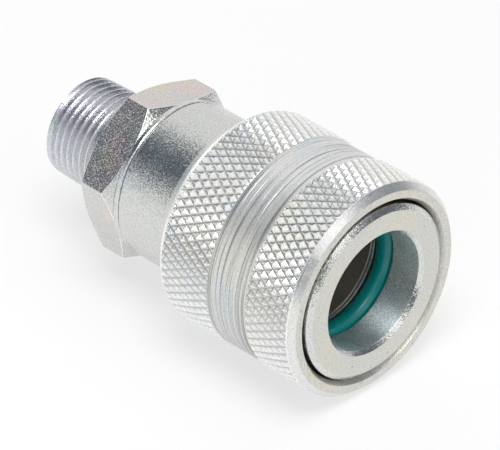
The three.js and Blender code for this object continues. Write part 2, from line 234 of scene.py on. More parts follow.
def new_object(name, vertices, faces):
    """A mesh object whose origin is on the axis, with smooth faces that turn outward."""
    mesh = bpy.data.meshes.new(name)
    mesh.from_pydata(vertices, [], faces)
    shape = bmesh.new()
    shape.from_mesh(mesh)
    bmesh.ops.remove_doubles(shape, verts=shape.verts, dist=1e-7)
    bmesh.ops.recalc_face_normals(shape, faces=shape.faces)
    shape.to_mesh(mesh)
    shape.free()
    mesh.shade_smooth()
    piece = bpy.data.objects.new(name, mesh)
    piece.location = (0, 0, AXIS_Z)
    bpy.context.scene.collection.objects.link(piece)
    weighted = piece.modifiers.new("flat_faces_stay_flat", "WEIGHTED_NORMAL")
    weighted.keep_sharp = True
    return piece


def wrapped(name, angles, stations, radii, split=None):
    """A closed skin from a grid of stations and radii, a row for each angle, joined round both ways."""
    around, along = radii.shape
    cos, sin = np.cos(angles)[:, None], np.sin(angles)[:, None]
    x = FRONT_X - np.broadcast_to(stations, radii.shape) * MM
    vertices = np.stack([x, radii * cos * MM, radii * sin * MM], -1).reshape(-1, 3)
    faces = []
    for i in range(around):
        this, following = i * along, ((i + 1) % around) * along
        for k in range(along):
            after = (k + 1) % along
            a, b = this + k, this + after
            c, d = following + after, following + k
            way = split[i, k] if split is not None and k < split.shape[1] else 0
            if way == 0:
                faces.append((a, b, c, d))
            elif way == 1:
                faces.extend(((a, b, c), (a, c, d)))
            else:
                faces.extend(((a, b, d), (b, c, d)))
    return new_object(name, vertices.tolist(), faces)


def turned(name, outline, columns=COLUMNS, edge=EDGE):
    """A closed outline turned round the axis."""
    points = np.array(rounded(outline, edge))
    angles = np.arange(columns) * 2 * math.pi / columns
    shape = (columns, len(points))
    return wrapped(name, angles, np.broadcast_to(points[:, 0], shape), np.broadcast_to(points[:, 1], shape))


def flat_ring(name, front, rear, inner, outer, edge):
    """A washer of rectangular section with rounded edges."""
    return turned(name, [(front, inner), (front, outer), (rear, outer), (rear, inner)], edge=edge)


def round_ring(name, station, radius, section, columns=COLUMNS, sides=28):
    """A ring of round section round the axis. section is the section's radius."""
    angles = np.arange(columns) * 2 * math.pi / columns
    turn = np.arange(sides) * 2 * math.pi / sides
    shape = (columns, sides)
    stations = np.broadcast_to(station + section * np.cos(turn), shape)
    return wrapped(name, angles, stations, np.broadcast_to(radius + section * np.sin(turn), shape))


def coil(name, front, rear, radius, wire, turns, sides=12, steps_per_turn=60):
    """A compression spring between two stations: a plain helix of round wire, cut square at both ends."""
    steps = int(turns * steps_per_turn)
    t = np.arange(steps + 1) / steps
    angle = 2 * math.pi * turns * t
    station = front + wire + (rear - front - 2 * wire) * t
    ring = np.arange(sides) * 2 * math.pi / sides
    along = station[:, None] + wire * np.cos(ring)[None]
    out = radius + wire * np.sin(ring)[None]
    x = FRONT_X - along * MM
    y, z = out * np.cos(angle)[:, None] * MM, out * np.sin(angle)[:, None] * MM
    vertices = np.stack([x, y, z], -1).reshape(-1, 3).tolist()
    faces = []
    for i in range(steps):
        for k in range(sides):
            after = (k + 1) % sides
            faces.append((i * sides + k, i * sides + after, (i + 1) * sides + after, (i + 1) * sides + k))
    faces.append(tuple(range(sides)))
    faces.append(tuple(steps * sides + k for k in reversed(range(sides))))
    return new_object(name, vertices, faces)


def finish_faces(piece, finishes):
    """Gives each face the first finish whose test on (station, radius, normal along the axis) is true."""
    mesh = piece.data
    count = len(mesh.polygons)
    centre, normal = np.zeros(count * 3), np.zeros(count * 3)
    mesh.polygons.foreach_get("center", centre)
    mesh.polygons.foreach_get("normal", normal)
    centre, normal = centre.reshape(-1, 3), normal.reshape(-1, 3)
    station = (FRONT_X - centre[:, 0]) / MM
    radius = np.hypot(centre[:, 1], centre[:, 2]) / MM
    chosen = np.zeros(count, int)
    for index in reversed(range(len(finishes))):
        material, test = finishes[index]
        chosen[test(station, radius, normal[:, 0])] = index
    for material, test in finishes:
        mesh.materials.append(material)
    mesh.polygons.foreach_set("material_index", chosen.astype(np.int32))
    mesh.update()


def everywhere(station, radius, facing):
    """A test for finish_faces that every face passes."""
    return station > -math.inf


# ---- Materials -----------------------------------------------------------------------------------------

# Noise scales, in features per metre.
CRYSTAL_SCALE = 5000.0
GRAIN_SCALE = 3900.0
PIT_SCALE = 1300.0
POLISH_SCALE = 420.0
BLOOM_SCALE = 260.0
SKIN_SCALE = 4200.0
STROKE_REACH = 1.5   # length of a tool line round the axis, in radians


class Nodes:
    """A short way to build a material's node tree."""

    def __init__(self, name):
        self.material = bpy.data.materials.new(name)
        self.material.use_nodes = True
        self.tree = self.material.node_tree
        self.shader = self.tree.nodes["Principled BSDF"]
        self.place = self.add("ShaderNodeTexCoord").outputs["Object"]

    def add(self, kind, **settings):
        node = self.tree.nodes.new(kind)
        for key, value in settings.items():
            setattr(node, key, value)
        return node

    def link(self, value, socket):
        if isinstance(value, bpy.types.NodeSocket):
            self.tree.links.new(value, socket)
        else:
            socket.default_value = value

    def math(self, operation, a, b=0.0, c=0.0, clamp=False):
        node = self.add("ShaderNodeMath", operation=operation, use_clamp=clamp)
        for value, socket in zip((a, b, c), node.inputs):
            self.link(value, socket)
        return node.outputs[0]

    def noise(self, vector, scale, detail=2.0, roughness=0.5, w=None):
        node = self.add("ShaderNodeTexNoise", noise_dimensions="3D" if w is None else "4D")
        self.link(vector, node.inputs["Vector"])
        node.inputs["Scale"].default_value = scale
        node.inputs["Detail"].default_value = detail
        node.inputs["Roughness"].default_value = roughness
        if w is not None:
            self.link(w, node.inputs["W"])
        return node.outputs["Fac"]

    def ramp(self, value, low, high, to_low=0.0, to_high=1.0):
        node = self.add("ShaderNodeMapRange", interpolation_type="SMOOTHSTEP")
        keys = ("Value", "From Min", "From Max", "To Min", "To Max")
        for source, key in zip((value, low, high, to_low, to_high), keys):
            self.link(source, node.inputs[key])
        return node.outputs[0]

    def mix(self, factor, first, second):
        node = self.add("ShaderNodeMix", data_type="RGBA")
        self.link(factor, node.inputs[0])
        self.link(first, node.inputs[6])
        self.link(second, node.inputs[7])
        return node.outputs[2]

    def polar(self):
        """Place along the axis, distance from it, and the cosine and sine of the angle round it."""
        split = self.add("ShaderNodeSeparateXYZ")
        self.link(self.place, split.inputs[0])
        x, y, z = split.outputs
        radius = self.math("SQRT", self.math("ADD", self.math("MULTIPLY", y, y), self.math("MULTIPLY", z, z)))
        safe = self.math("MAXIMUM", radius, 1e-5)
        return x, radius, self.math("DIVIDE", y, safe), self.math("DIVIDE", z, safe)

    def lathe_lines(self, pitch, reach, detail=3.0):
        """Noise drawn out round the axis, as a lathe tool leaves it. Pitch is in metres, reach in radians."""
        x, radius, cos, sin = self.polar()
        vector = self.add("ShaderNodeCombineXYZ")
        self.link(self.math("DIVIDE", x, pitch), vector.inputs[0])
        self.link(self.math("MULTIPLY", cos, 1 / reach), vector.inputs[1])
        self.link(self.math("MULTIPLY", sin, 1 / reach), vector.inputs[2])
        return self.noise(vector.outputs[0], 1.0, detail, 0.6, w=self.math("DIVIDE", radius, pitch))

    def bump(self, height, distance):
        node = self.add("ShaderNodeBump")
        node.inputs["Strength"].default_value = 1.0
        node.inputs["Distance"].default_value = distance
        self.link(height, node.inputs["Height"])
        self.link(node.outputs[0], self.shader.inputs["Normal"])
        return node.outputs[0]

    def crystals(self, normal, tilt):
        """Leans a surface in small random patches, as the crystals of a zinc coat do."""
        random = self.add("ShaderNodeTexNoise")
        self.link(self.place, random.inputs["Vector"])
        random.inputs["Scale"].default_value = CRYSTAL_SCALE
        random.inputs["Detail"].default_value = 1.0
        centred = self.add("ShaderNodeVectorMath", operation="SUBTRACT")
        self.link(random.outputs["Color"], centred.inputs[0])
        centred.inputs[1].default_value = (0.5, 0.5, 0.5)
        lean = self.add("ShaderNodeVectorMath", operation="MULTIPLY_ADD")
        self.link(centred.outputs[0], lean.inputs[0])
        lean.inputs[1].default_value = (tilt, tilt, tilt)
        self.link(normal, lean.inputs[2])
        unit = self.add("ShaderNodeVectorMath", operation="NORMALIZE")
        self.link(lean.outputs[0], unit.inputs[0])
        self.link(unit.outputs[0], self.shader.inputs["Normal"])


def metal(name, colour, tints, roughness, grain=0.0, lines=0.0, line_pitch=0.00012, tint_scale=70.0,
          spread=0.03, metallic=1.0, speckle=0.12, scored=0.0, pitted=0.0, brushed=0.0, groove_shade=None,
          tilt=0.0):
    """Zinc-plated or bare steel: a tinted passivated film, fine grain, tool lines and uneven polish.

    grain and lines are the heights of the two reliefs in metres. speckle, scored and pitted say how much the
    grain, the tool lines and the small pits change the colour. brushed draws highlights out along the axis,
    across the tool lines. groove_shade is the radius of a groove's root, that of its top, and how dark the
    root is painted, as painted shade for the shade in the grooves. tilt is how far the crystals of the coat
    lean."""
    nodes = Nodes(name)
    wide = nodes.noise(nodes.place, tint_scale, 3.0)
    other = nodes.noise(nodes.place, tint_scale * 1.9, 2.0)
    first, second = (tuple(part * share for part, share in zip(colour, tint)) for tint in tints)
    film = nodes.mix(nodes.ramp(wide, 0.42, 0.68), (*colour, 1), (*first, 1))
    film = nodes.mix(nodes.ramp(other, 0.5, 0.78), film, (*second, 1))
    fine = nodes.noise(nodes.place, GRAIN_SCALE, 2.0, 0.6)
    shade = nodes.ramp(fine, 0.37, 0.63, 1.0 - speckle, 1.0 + 0.7 * speckle)
    # Painted shade: the colour darkens towards a groove's root, standing in for the shade that falls there.
    if groove_shade:
        root, top, dark = groove_shade
        painted_groove_shade = nodes.ramp(nodes.polar()[1], root * MM, top * MM, 1.0 - dark, 1.0)
        shade = nodes.math("MULTIPLY", shade, painted_groove_shade)
    if pitted:
        pits = nodes.noise(nodes.place, PIT_SCALE, 1.0)
        shade = nodes.math("MULTIPLY", shade, nodes.ramp(pits, 0.7, 0.78, 1.0, 1.0 - pitted))
    if lines:
        strokes = nodes.lathe_lines(line_pitch, STROKE_REACH)
        shade = nodes.math("MULTIPLY", shade, nodes.ramp(strokes, 0.36, 0.52, 1.0 - scored, 1.0))
    tinted = nodes.add("ShaderNodeVectorMath", operation="SCALE")
    nodes.link(film, tinted.inputs[0])
    nodes.link(shade, tinted.inputs["Scale"])
    nodes.link(tinted.outputs[0], nodes.shader.inputs["Base Color"])
    nodes.shader.inputs["Metallic"].default_value = metallic
    patches = nodes.noise(nodes.place, POLISH_SCALE, 4.0, 0.6)
    uneven = nodes.math("ADD", nodes.ramp(patches, 0.3, 0.7, -spread, spread), roughness)
    relief = nodes.math("MULTIPLY", fine, grain)
    if lines:
        relief = nodes.math("ADD", relief, nodes.math("MULTIPLY", strokes, lines))
        uneven = nodes.math("ADD", uneven, nodes.ramp(strokes, 0.3, 0.7, -spread, spread))
    nodes.link(uneven, nodes.shader.inputs["Roughness"])
    if brushed:
        along = nodes.add("ShaderNodeCombineXYZ")
        along.inputs[0].default_value = 1.0
        nodes.link(along.outputs[0], nodes.shader.inputs["Tangent"])
        nodes.shader.inputs["Anisotropic"].default_value = brushed
    normal = nodes.bump(relief, 1.0)
    if tilt:
        nodes.crystals(normal, tilt)
    return nodes.material


# Tints multiply a metal's colour.
WARM = (1.04, 1.0, 0.93)
COOL = (0.94, 0.99, 1.05)
CREAM = (1.04, 1.02, 0.96)
LILAC = (1.0, 0.97, 1.06)
PINK = (1.14, 0.94, 0.99)
STRAW = (1.1, 1.04, 0.86)
GREEN = (0.94, 1.02, 0.97)

plain_zinc = metal("plain_zinc", (0.67, 0.68, 0.665), (CREAM, COOL), 0.2, grain=2.5e-5, lines=0.15e-5,
                   tilt=0.85)
band_zinc = metal("band_zinc", (0.68, 0.685, 0.68), (CREAM, COOL), 0.32, grain=0.4e-5, lines=2.5e-5,
                  line_pitch=0.00028, metallic=0.64, scored=0.55, brushed=0.4)
faced_zinc = metal("faced_zinc", (0.66, 0.66, 0.63), (CREAM, WARM), 0.4, grain=2.5e-5, lines=0.12e-5,
                   pitted=0.35, tilt=0.5)
nose_zinc = metal("nose_zinc", (0.8, 0.805, 0.8), (CREAM, COOL), 0.33, grain=2.0e-5, lines=0.3e-5,
                  tilt=0.5)
# Painted highlight: the hexagon's rounded edges get a near-white copy of the zinc, standing in for the glint
# along them.
edge_highlight_zinc = metal("edge_highlight_zinc", (0.95, 0.95, 0.94), (WARM, CREAM), 0.24, grain=0.6e-5, tint_scale=300.0)
# Painted highlight: the sleeve's bevelled shoulder gets a near-white copy of the zinc, standing in for the
# bright rim it reflects.
bevel_highlight_zinc = metal("bevel_highlight_zinc", (0.96, 0.96, 0.955), (CREAM, COOL), 0.22, grain=1.2e-5,
                   tint_scale=200.0, metallic=0.8)
polished_zinc = metal("polished_zinc", (0.69, 0.7, 0.7), (CREAM, COOL), 0.16, grain=2.0e-5,
                      lines=0.3e-5, pitted=0.3, tilt=0.6)
# The knurl's colour has painted shade in its groove roots.
knurl_zinc = metal("knurl_zinc", (0.88, 0.885, 0.88), (CREAM, COOL), 0.22, grain=1.5e-5, metallic=0.86,
                   groove_shade=(KNURL_RADIUS - KNURL_DEPTH, KNURL_RADIUS - 0.24, 0.36))
thread_zinc = metal("thread_zinc", (0.7, 0.71, 0.73), (LILAC, GREEN), 0.26, grain=1.5e-5, lines=0.3e-5,
                    tilt=0.45)
milled_zinc = metal("milled_zinc", (0.655, 0.66, 0.645), (PINK, STRAW), 0.22, grain=2.5e-5,
                    tint_scale=110.0, tilt=1.15)
# Painted shade and a painted reflection: the ring's bore is darker than the other zinc and tinted teal,
# standing in for the shade in the mouth and the green seal it reflects.
bore_zinc_painted_shade_reflection = metal("bore_zinc_painted_shade_reflection", (0.59, 0.65, 0.65), (COOL, WARM), 0.5, grain=2.5e-5, lines=0.5e-5,
                  speckle=0.26, brushed=0.76)
# Bare steel inside the coupler: its brown-grey is its own colour, and its darkness is partly painted shade
# for the unlit interior.
inner_steel_painted_shade = metal("inner_steel_painted_shade", (0.47, 0.43, 0.385), (WARM, GREEN), 0.42, grain=0.8e-5, lines=0.4e-5,
                    metallic=0.85)
bright_steel = metal("bright_steel", (0.7, 0.71, 0.73), (COOL, WARM), 0.09, grain=0.05e-5,
                     lines=0.05e-5, spread=0.02)
spring_steel = metal("spring_steel", (0.52, 0.53, 0.55), (COOL, WARM), 0.26, grain=0.3e-5)


def elastomer(name, colour, dark, roughness, grain):
    """Moulded rubber: a slight sheen, uneven bloom and a fine moulded skin."""
    nodes = Nodes(name)
    bloom = nodes.noise(nodes.place, BLOOM_SCALE, 4.0, 0.6)
    film = nodes.mix(nodes.ramp(bloom, 0.3, 0.75), (*colour, 1), (*dark, 1))
    nodes.link(film, nodes.shader.inputs["Base Color"])
    skin = nodes.noise(nodes.place, SKIN_SCALE, 2.0)
    uneven = nodes.ramp(bloom, 0.3, 0.7, roughness - 0.05, roughness + 0.07)
    nodes.link(uneven, nodes.shader.inputs["Roughness"])
    nodes.shader.inputs["Specular IOR Level"].default_value = 0.5
    nodes.bump(skin, grain)
    return nodes.material


seal_green = elastomer("seal_green", (0.0, 0.29, 0.285), (0.0, 0.22, 0.22), 0.24, 0.5e-5)
seal_black = elastomer("seal_black", (0.022, 0.022, 0.024), (0.035, 0.034, 0.033), 0.42, 1.0e-5)
ptfe = elastomer("ptfe", (0.82, 0.8, 0.73), (0.74, 0.71, 0.63), 0.45, 0.8e-5)

# ---- Pieces --------------------------------------------------------------------------------------------


def nose_ring():
    groove_front, groove_rear, groove_radius = RING_GROOVE
    skirt_rear, skirt_radius = RING_SKIRT
    piece = turned("nose_ring_finished", [
        (0, RING_BORE + RING_CHAMFER), (0, RING_FACE_RADIUS), (RING_CHAMFER, RING_RADIUS),
        (RING_FLANGE_REAR, RING_RADIUS, 0.15), (RING_FLANGE_REAR, skirt_radius), (skirt_rear, skirt_radius),
        (skirt_rear, RING_THREAD_RADIUS), (RING_LIP_REAR, RING_THREAD_RADIUS),
        (RING_LIP_REAR, RING_BORE, 0.06), (groove_rear, RING_BORE, 0.06),
        (groove_rear, groove_radius, 0.3), (groove_front, groove_radius, 0.3),
        (groove_front, RING_BORE, 0.15), (RING_CHAMFER, RING_BORE),
    ], columns=256, edge=0.07)
    finish_faces(piece, [
        (polished_zinc, lambda s, r, f: (s > 0.01) & (s < RING_CHAMFER + MARGIN) & (
            (r > RING_FACE_RADIUS + MARGIN) | (r < RING_BORE + RING_CHAMFER - 0.02))),
        (faced_zinc, lambda s, r, f: s < 0.03),
        (bore_zinc_painted_shade_reflection, lambda s, r, f: r < 10.4),
        (inner_steel_painted_shade, lambda s, r, f: (r < RING_SKIRT[1] - 0.6) & (s > 1)),
        (plain_zinc, everywhere),
    ])
    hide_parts("nose_ring")
    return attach(piece, "coupler_body")


def ball_angle(ball):
    return 2 * math.pi * ball / BALL_COUNT


def cutter(radius, inner, outer, angle):
    """A plug on the axis of one ball's hole, for cutting."""
    shape = bmesh.new()
    place = Matrix.Rotation(angle, 4, "X") @ Matrix.Translation((0, (inner + outer) / 2 * MM, 0))
    along = Matrix.Translation((FRONT_X - BALL_STATION * MM, 0, 0))
    place = along @ place @ Matrix.Rotation(math.pi / 2, 4, "X")
    bmesh.ops.create_cone(shape, cap_ends=True, segments=48, radius1=radius * MM, radius2=radius * MM,
                          depth=(outer - inner) * MM, matrix=place)
    mesh = bpy.data.meshes.new("plug")
    shape.to_mesh(mesh)
    shape.free()
    plug = bpy.data.objects.new("plug", mesh)
    plug.location = (0, 0, AXIS_Z)
    bpy.context.scene.collection.objects.link(plug)
    return plug


def cut(piece, plugs):
    """Takes the plugs away from the piece, and away from the scene."""
    for plug in plugs:
        boolean = piece.modifiers.new("hole", "BOOLEAN")
        boolean.operation = "DIFFERENCE"
        boolean.solver = "EXACT"
        boolean.object = plug
    keep = [modifier for modifier in piece.modifiers if modifier.type == "BOOLEAN"]
    bpy.context.view_layer.update()
    for modifier in [m for m in piece.modifiers if m not in keep]:
        modifier.show_viewport = False
    graph = bpy.context.evaluated_depsgraph_get()
    result = bpy.data.meshes.new_from_object(piece.evaluated_get(graph))
    for modifier in keep:
        piece.modifiers.remove(modifier)
    piece.data = result
    for plug in plugs:
        bpy.data.objects.remove(plug)
    for edge in piece.data.edges:
        edge.use_edge_sharp = False
    mark_sharp(piece, 40)
    for modifier in piece.modifiers:
        modifier.show_viewport = True


def mark_sharp(piece, degrees):
    """Makes each edge sharp where its two faces meet at more than the given angle."""
    shape = bmesh.new()
    shape.from_mesh(piece.data)
    for edge in shape.edges:
        if len(edge.link_faces) == 2:
            edge.smooth = edge.calc_face_angle(0) < math.radians(degrees)
    shape.to_mesh(piece.data)
    shape.free()


def socket_body():
    groove_front, groove_rear, groove_radius = SNAP_GROOVE
    spigot_rear, spigot_radius = SPIGOT
    seal_front, seal_rear, seal_radius = SEAL_GROOVE
    recess_front, recess_radius = JOINT_RECESS
    seat_rear = SEAT_FRONT + CHAMBER_RADIUS - SEAT_RADIUS
    piece = turned("socket_body_finished", [
        (RING_FLANGE_REAR, spigot_radius), (spigot_rear, spigot_radius), (spigot_rear, BODY_RADIUS),
        (groove_front, BODY_RADIUS, 0.05), (groove_front, groove_radius, 0.05),
        (groove_rear, groove_radius, 0.05), (groove_rear, BODY_RADIUS, 0.05), (BODY_REAR, BODY_RADIUS, 0.25),
        (BODY_REAR, recess_radius), (recess_front, recess_radius), (recess_front, BODY_THREAD_RADIUS),
        (CHAMBER_REAR, BODY_THREAD_RADIUS), (CHAMBER_REAR, CHAMBER_RADIUS), (seat_rear, CHAMBER_RADIUS),
        (SEAT_FRONT, SEAT_RADIUS), (SOCKET_REAR, SEAT_RADIUS), (SOCKET_REAR, SOCKET_RADIUS, 0.3),
        (seal_rear, SOCKET_RADIUS), (seal_rear, seal_radius), (seal_front, seal_radius),
        (seal_front, SOCKET_RADIUS), (RING_FLANGE_REAR, SOCKET_RADIUS, 0.3),
    ])
    plugs = []
    for ball in range(BALL_COUNT):
        plugs.append(cutter(BALL_HOLE_RADIUS, BALL_LIP_ORBIT, BODY_RADIUS + BALL_RADIUS, ball_angle(ball)))
        plugs.append(cutter(BALL_LIP_RADIUS, SOCKET_RADIUS - BALL_RADIUS, BODY_RADIUS, ball_angle(ball)))
    cut(piece, plugs)
    finish_faces(piece, [
        (inner_steel_painted_shade, lambda s, r, f: r < groove_radius - 0.05),
        (plain_zinc, everywhere),
    ])
    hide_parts("socket_body")
    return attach(piece, "coupler_body")


def knurl_depth(along, around):
    """Depth of the knurl under its crests, with blunt crests and rounded roots, and the nearest groove."""
    blunt, root = 0.04, 0.06
    waves = []
    for phase in (along + around, around - along):
        ridge = 1 - 2 * np.abs(phase - np.floor(phase) - 0.5)
        distance = 1 - ridge
        distance = np.where(distance < root, distance ** 2 / (2 * root) + root / 2, distance)
        waves.append(1 - distance)
    depth = np.maximum(waves[0], waves[1])
    return KNURL_DEPTH * np.clip((depth - blunt) / (1 - blunt), 0, 1), waves[0] > waves[1]


def lock_sleeve():
    """The knurled sleeve. Its outside is one grid: knurl, turned band, knurl, bevelled shoulder."""
    columns = KNURLS_ROUND * KNURL_CELLS
    cell = KNURL_STEP / KNURL_CELLS
    flat_start = SLEEVE_FRONT + KNURL_START
    front_knurl = np.arange(flat_start, BAND[0], cell)
    band = np.linspace(BAND[0], BAND[1], BAND_STATIONS)
    rear_knurl = np.arange(BAND[1], KNURL_REAR, cell)
    slip = 0.004
    stations = np.concatenate([front_knurl, [BAND[0] - slip], band, rear_knurl + slip, [KNURL_REAR]])
    draw = np.random.default_rng(7)
    lines = BAND_UNEVENNESS * draw.standard_normal(len(band))
    lines[draw.integers(2, len(band) - 2, BAND_SCORES)] -= BAND_SCORE_DEPTH
    lines[0] = lines[-1] = -BAND_EDGE_DEPTH
    in_band = (stations >= BAND[0]) & (stations <= BAND[1])
    angles = np.arange(columns) * 2 * math.pi / columns
    around = np.arange(columns)[:, None] / KNURL_CELLS
    along = (stations / KNURL_STEP)[None, :]
    depth = knurl_depth(along, around)[0]
    crest = KNURL_RADIUS - KNURL_CLEARANCE
    fade = np.clip((stations - KNURL_FADE[0]) / (KNURL_FADE[1] - KNURL_FADE[0]), 0, 1)[None, :]
    radii = crest - depth * fade
    nose = NOSE_FACE_RADIUS + (stations - SLEEVE_FRONT) * NOSE_SLOPE
    off_band = np.maximum(np.abs(stations - sum(BAND) / 2) - (BAND[1] - BAND[0]) / 2, 0)
    edge_of_band = BAND_RADIUS + off_band * 1.3
    rear_edge = SHOULDER_RADIUS + 0.02 + (KNURL_REAR - stations) * 1.2
    envelope = np.minimum(np.minimum(nose, edge_of_band), rear_edge)[None, :]
    radii = np.minimum(radii, envelope)
    band_radii = np.zeros(len(stations))
    band_radii[in_band] = BAND_RADIUS + lines[: in_band.sum()]
    radii = np.where(in_band[None, :], band_radii[None, :], radii)

    chamber_front, chamber_radius = SPRING_CHAMBER
    lip_front, lip_radius = LIP
    relief_rear, relief_radius = RELIEF
    mouth_front, mouth_radius = MOUTH
    rest = np.array([(KNURL_REAR + 0.04, SHOULDER_RADIUS - 0.13)] + rounded([
        (KNURL_REAR + 0.09, SHOULDER_RADIUS - 0.13), (KNURL_REAR + 0.16, SHOULDER_RADIUS - 0.03),
        (BEVEL_FRONT, BEVEL_RADIUS, 1.6), (SLEEVE_REAR, SLEEVE_REAR_RADIUS, 0.15),
        (SLEEVE_REAR, lip_radius, 0.15), (lip_front, lip_radius, 0.2), (lip_front, chamber_radius, 0.3),
        (chamber_front, chamber_radius, 0.3), (chamber_front, LAND_RADIUS, 0.15),
        (BALL_STATION, LAND_RADIUS, 0.4), (relief_rear, relief_radius, 0.2), (MOUTH_REAR, relief_radius),
        (MOUTH_REAR, mouth_radius), (mouth_front, mouth_radius, 0.15),
        (SLEEVE_FRONT, MOUTH_FACE_RADIUS, 0.08), (SLEEVE_FRONT, NOSE_FACE_RADIUS, 0.16),
        (flat_start, NOSE_FACE_RADIUS + (flat_start - SLEEVE_FRONT) * NOSE_SLOPE),
    ], steps=5, closed=False)[:-1])
    shape = (columns, len(rest))
    outside = np.broadcast_to(stations, (columns, len(stations)))
    all_stations = np.concatenate([outside, np.broadcast_to(rest[:, 0], shape)], 1)
    all_radii = np.concatenate([radii, np.broadcast_to(rest[:, 1], shape)], 1)
    split = np.zeros(all_radii.shape, int)
    between = (stations[None, :-1] + stations[None, 1:]) / 2 / KNURL_STEP
    nearest = knurl_depth(between, around + 0.5 / KNURL_CELLS)[1]
    ways = np.where(nearest, 2, 1)
    knurled = (stations[:-1] < BAND[0]) | (stations[:-1] >= BAND[1])
    split[:, : len(stations) - 1] = np.where(knurled[None, :], ways, 0)
    piece = wrapped("lock_sleeve_finished", angles, all_stations, all_radii, split)
    finish_faces(piece, [
        (faced_zinc, lambda s, r, f: (s < SLEEVE_FRONT + MARGIN) | (
            (r < MOUTH_FACE_RADIUS + 0.02) & (s < mouth_front - 0.02))),
        (inner_steel_painted_shade, lambda s, r, f: (r < chamber_radius + 0.1) & (
            r + s < BEVEL_FRONT + BEVEL_RADIUS - 0.2)),
        (nose_zinc, lambda s, r, f: s < KNURL_FADE[0]),
        (bevel_highlight_zinc, lambda s, r, f: s > KNURL_REAR),
        (band_zinc, lambda s, r, f: (s > BAND[0] - slip) & (s < BAND[1] + slip)),
        (knurl_zinc, everywhere),
    ])
    for face in piece.data.polygons:
        if piece.data.materials[face.material_index] is knurl_zinc:
            face.use_smooth = False
    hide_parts("lock_sleeve")
    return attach(piece, "sleeve")


def hex_radius(angle):
    """Distance from the axis to the side of a hexagon with rounded corners."""
    apothem = HEX_CORNER_RADIUS * math.cos(math.pi / 6)
    sixth = math.pi / 3
    off = (angle - HEX_CLOCKING) % sixth
    off = min(off, sixth - off)
    side = apothem / math.cos(sixth / 2 - off)
    rounding = HEX_CORNER_ROUNDING
    centre = HEX_CORNER_RADIUS - rounding / math.cos(math.pi / 6)
    reach = rounding * math.tan(math.pi / 6)
    if side * math.sin(off) < reach * math.cos(math.pi / 6):
        return centre * math.cos(off) + math.sqrt(max(rounding ** 2 - (centre * math.sin(off)) ** 2, 0))
    return side


def thread_radius(station, angle):
    """The pipe thread's surface: a V helix on a taper, with blunt crests, running out at both ends."""
    turns = (station - THREAD_FRONT) / THREAD_PITCH - angle / (2 * math.pi)
    ridge = 1 - 2 * np.abs(turns - np.floor(turns) - 0.5)
    height = np.clip(ridge * 1.12 - 0.04, 0, 1)
    height = height * height * (3 - 2 * height) * 0.45 + height * 0.55
    middle = THREAD_FRONT + THREAD_PITCH * THREAD_TURNS / 2
    taper = (middle - station) * THREAD_TAPER
    radius = THREAD_ROOT + (THREAD_CREST - THREAD_ROOT) * height + taper
    run_out = np.clip((station - THREAD_FRONT + THREAD_LEAD) / THREAD_RUN_OUT, 0, 1)
    radius = THREAD_NECK + (radius - THREAD_NECK) * run_out
    to_end = np.clip((LENGTH - station) / THREAD_RIM, 0, 1)
    return THREAD_END_RADIUS + (radius - THREAD_END_RADIUS) * to_end


def hose_adapter():
    """Collar, chamfered spanner hexagon and pipe thread. Each angle has a row of its own."""
    pocket_rear, pocket_radius = POCKET
    funnel_rear, funnel_radius = FUNNEL
    whole = 2 * math.pi
    corners = [HEX_CLOCKING + math.pi / 3 * k for k in range(6)]
    angles = [whole * k / ADAPTER_COLUMNS for k in range(ADAPTER_COLUMNS)]
    for corner in corners:
        angles = [a for a in angles if abs((a - corner + math.pi) % whole - math.pi) > HEX_CORNER_CLEARANCE]
        angles += [(corner + math.radians(step * HEX_CORNER_STEP)) % whole for step in range(-5, 6)]
    angles.sort()
    thread_start = THREAD_FRONT - THREAD_LEAD
    thread = np.arange(thread_start, LENGTH, THREAD_PITCH / THREAD_CELLS)
    rows = []
    for angle in angles:
        side = hex_radius(angle)
        drop = max((side - HEX_FACE_RADIUS) * HEX_CHAMFER_SLOPE, 0.02)
        face = min(HEX_FACE_RADIUS, side - 0.01)
        front = rounded([
            (SPIGOT_MIDDLE, SPIGOT_RADIUS), (COLLAR_FRONT, SPIGOT_RADIUS, 0.02),
            (COLLAR_FRONT, COLLAR_RADIUS, 0.85), (HEX_FRONT, COLLAR_RADIUS, 0.02), (HEX_FRONT, face, 0.02),
            (HEX_FRONT + drop, side, 0.14), (HEX_REAR - drop, side, 0.14), (HEX_REAR, face, 0.1),
            (HEX_REAR, THREAD_NECK, 0.25), (thread_start, THREAD_NECK),
        ], closed=False)[1:-1]
        helix = [(station, float(thread_radius(station, angle))) for station in thread]
        back = rounded([
            (thread[-1], helix[-1][1]), (LENGTH, THREAD_END_RADIUS, 0.06), (LENGTH, ADAPTER_BORE, 0.3),
            (funnel_rear, ADAPTER_BORE, 0.3), (pocket_rear, funnel_radius), (pocket_rear, pocket_radius),
            (SPIGOT_FRONT, pocket_radius, 0.3), (SPIGOT_FRONT, SPIGOT_RADIUS, 0.3),
            (SPIGOT_MIDDLE, SPIGOT_RADIUS),
        ], closed=False)[1:]
        rows.append(front + helix + back)
    grid = np.array(rows)
    piece = wrapped("hose_adapter_finished", np.array(angles), grid[:, :, 0], grid[:, :, 1])
    finish_faces(piece, [
        (inner_steel_painted_shade, lambda s, r, f: ((r < ADAPTER_BORE + 1.5) & (s < LENGTH - 0.05)) | (
            s < COLLAR_FRONT - 0.1)),
        (polished_zinc, lambda s, r, f: s < HEX_FRONT + 0.01),
        (edge_highlight_zinc, lambda s, r, f: (s < HEX_REAR + 0.02) & (np.abs(f) > 0.12) & (np.abs(f) < 0.8)),
        (plain_zinc, lambda s, r, f: (s < HEX_REAR + 0.02) & (np.abs(f) > 0.3)),
        (milled_zinc, lambda s, r, f: s < HEX_REAR + 0.02),
        (thread_zinc, everywhere),
    ])
    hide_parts("hose_adapter")
    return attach(piece, "coupler_body")


